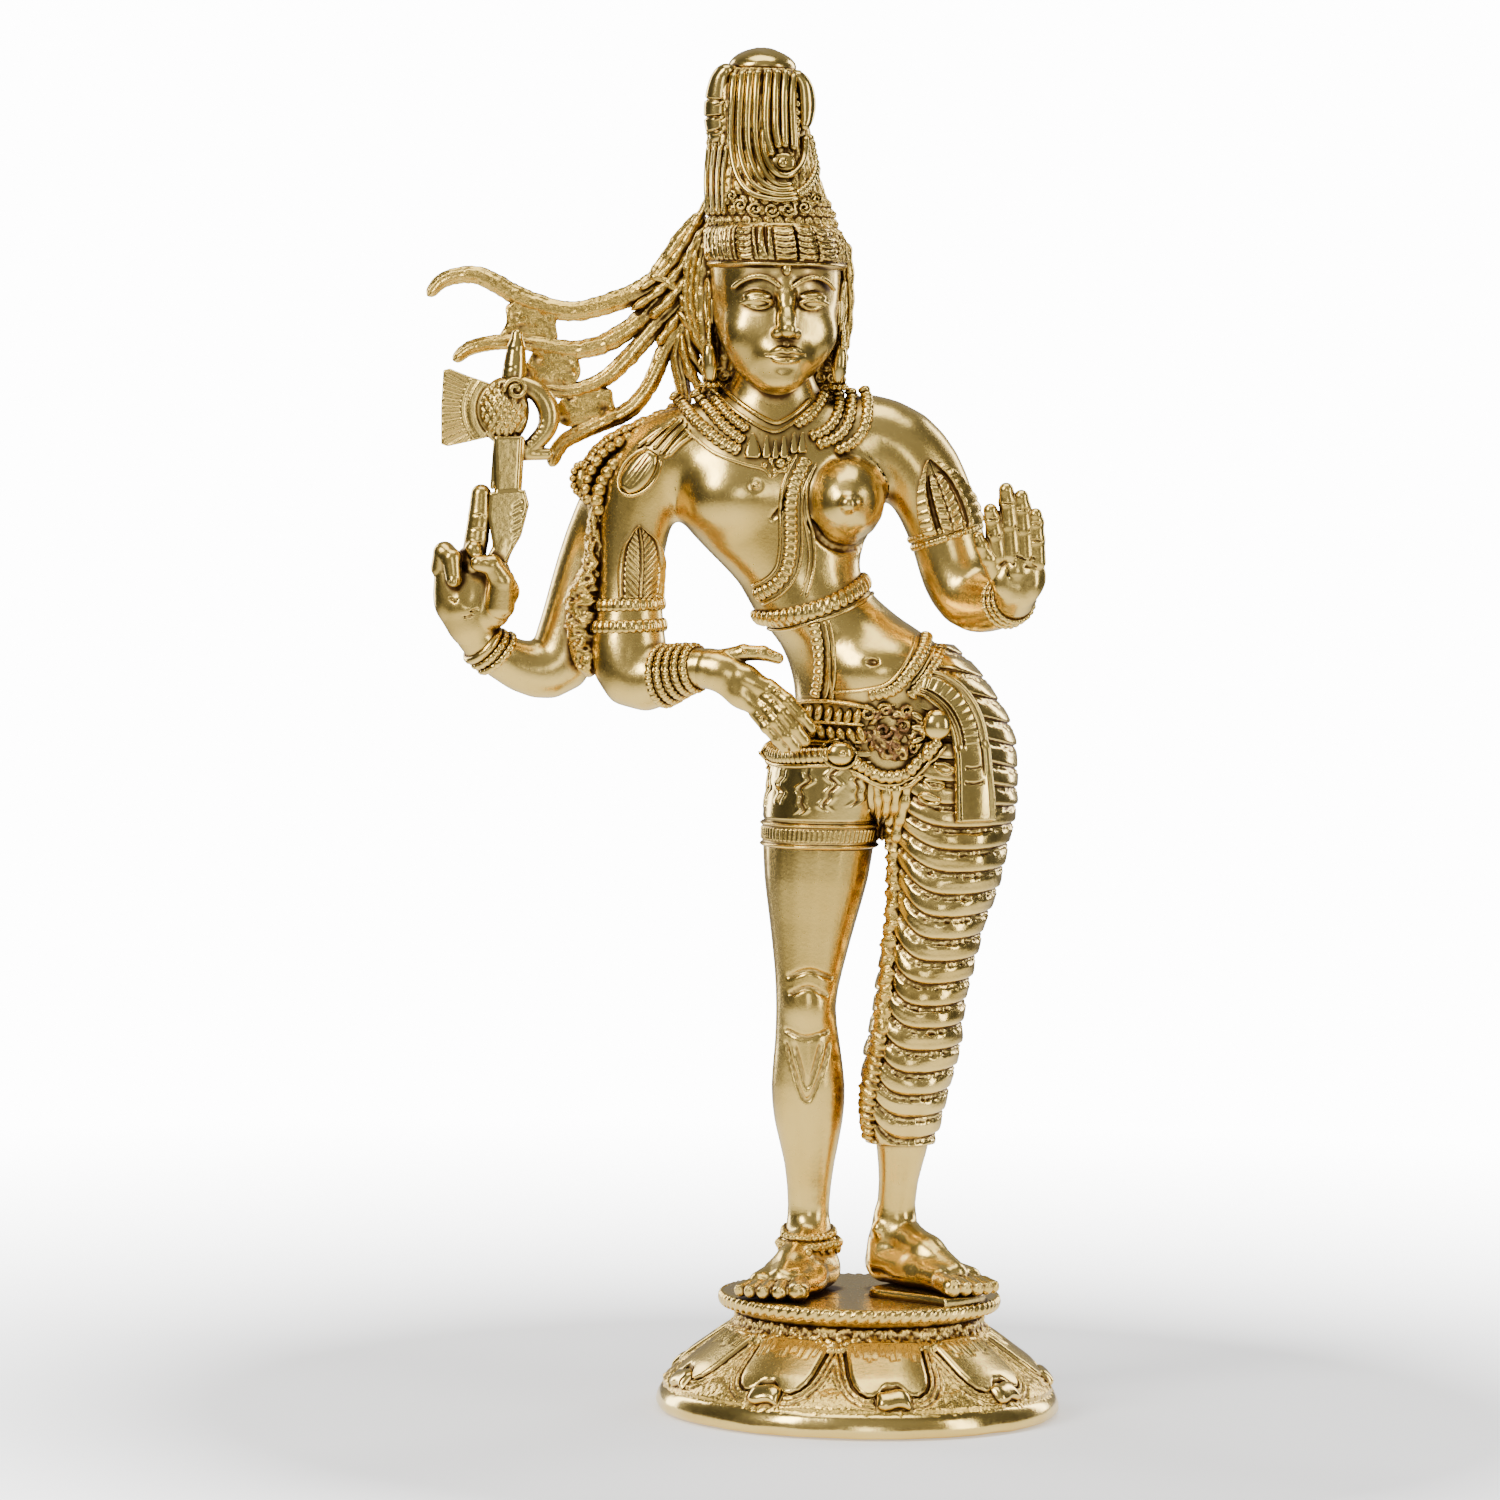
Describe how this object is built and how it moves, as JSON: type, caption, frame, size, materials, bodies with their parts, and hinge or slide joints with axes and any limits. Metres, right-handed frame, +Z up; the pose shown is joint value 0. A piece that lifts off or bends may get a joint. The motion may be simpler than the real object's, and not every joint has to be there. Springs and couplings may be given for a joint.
{
  "type": "cast brass standing figure statue",
  "caption": "Cast brass standing deity figure, half male and half female, with a raised axe and flying hair, on a round lotus pedestal",
  "frame": {"origin": "centre of the round underside of the pedestal, on the surface that it stands on", "axes": "+Z up, -Y the front of the figure, +X the figure's left side, seen on the right from the front"},
  "size_m": [0.1231, 0.0756, 0.2545],
  "materials": {
    "polished_brass": "buffed bright, with fine file marks",
    "satin_brass": "satin, hand brushed",
    "cast_brass": "as cast, rough, darker in the hollows"
  },
  "bodies": {
    "root": {"lotus_base": "cast_brass", "base_rim": "polished_brass", "lotus_petals": "satin_brass", "petal_tips": "polished_brass", "neck_band": "cast_brass", "plinth_plate": "satin_brass", "plate_beads": "polished_brass", "foot_block": "polished_brass", "right_leg": "satin_brass", "right_foot": "satin_brass", "right_anklet": "cast_brass", "left_shin": "satin_brass", "left_foot": "satin_brass", "draped_sari": "polished_brass", "sari_pleat_edge": "cast_brass", "thigh_band": "polished_brass", "shorts": "polished_brass", "hip_girdle": "satin_brass", "belt_clasp": "polished_brass", "belt_ornaments": "cast_brass", "swag_cord": "satin_brass", "hip_sash": "polished_brass", "hip_boss": "polished_brass", "torso": "satin_brass", "breast": "satin_brass", "sacred_thread": "satin_brass", "waistband": "satin_brass", "front_strand": "satin_brass", "hip_strands": "satin_brass", "necklace": "satin_brass", "necklace_pendants": "polished_brass", "neck": "satin_brass", "head": "polished_brass", "diadem": "satin_brass", "crown": "cast_brass", "crown_knob": "polished_brass", "crown_front_panel": "polished_brass", "crown_side_lobes": "polished_brass", "ears": "satin_brass", "earrings": "polished_brass", "nape_hair": "cast_brass", "shoulder_lock": "polished_brass", "shoulder_scallop": "cast_brass", "hair_lock_1": "cast_brass", "hair_lock_2": "cast_brass", "hair_lock_3": "cast_brass", "hair_lock_4": "cast_brass", "hair_lock_5": "cast_brass", "hair_bridges": "cast_brass", "right_front_arm": "satin_brass", "right_front_hand": "satin_brass", "right_back_arm": "satin_brass", "right_back_hand": "satin_brass", "axe_shaft": "polished_brass", "axe_head": "satin_brass", "left_arm": "satin_brass", "left_hand": "satin_brass", "armlets": "satin_brass", "elbow_bands": "satin_brass", "wrist_bangles": "satin_brass"}
  },
  "joints": []
}
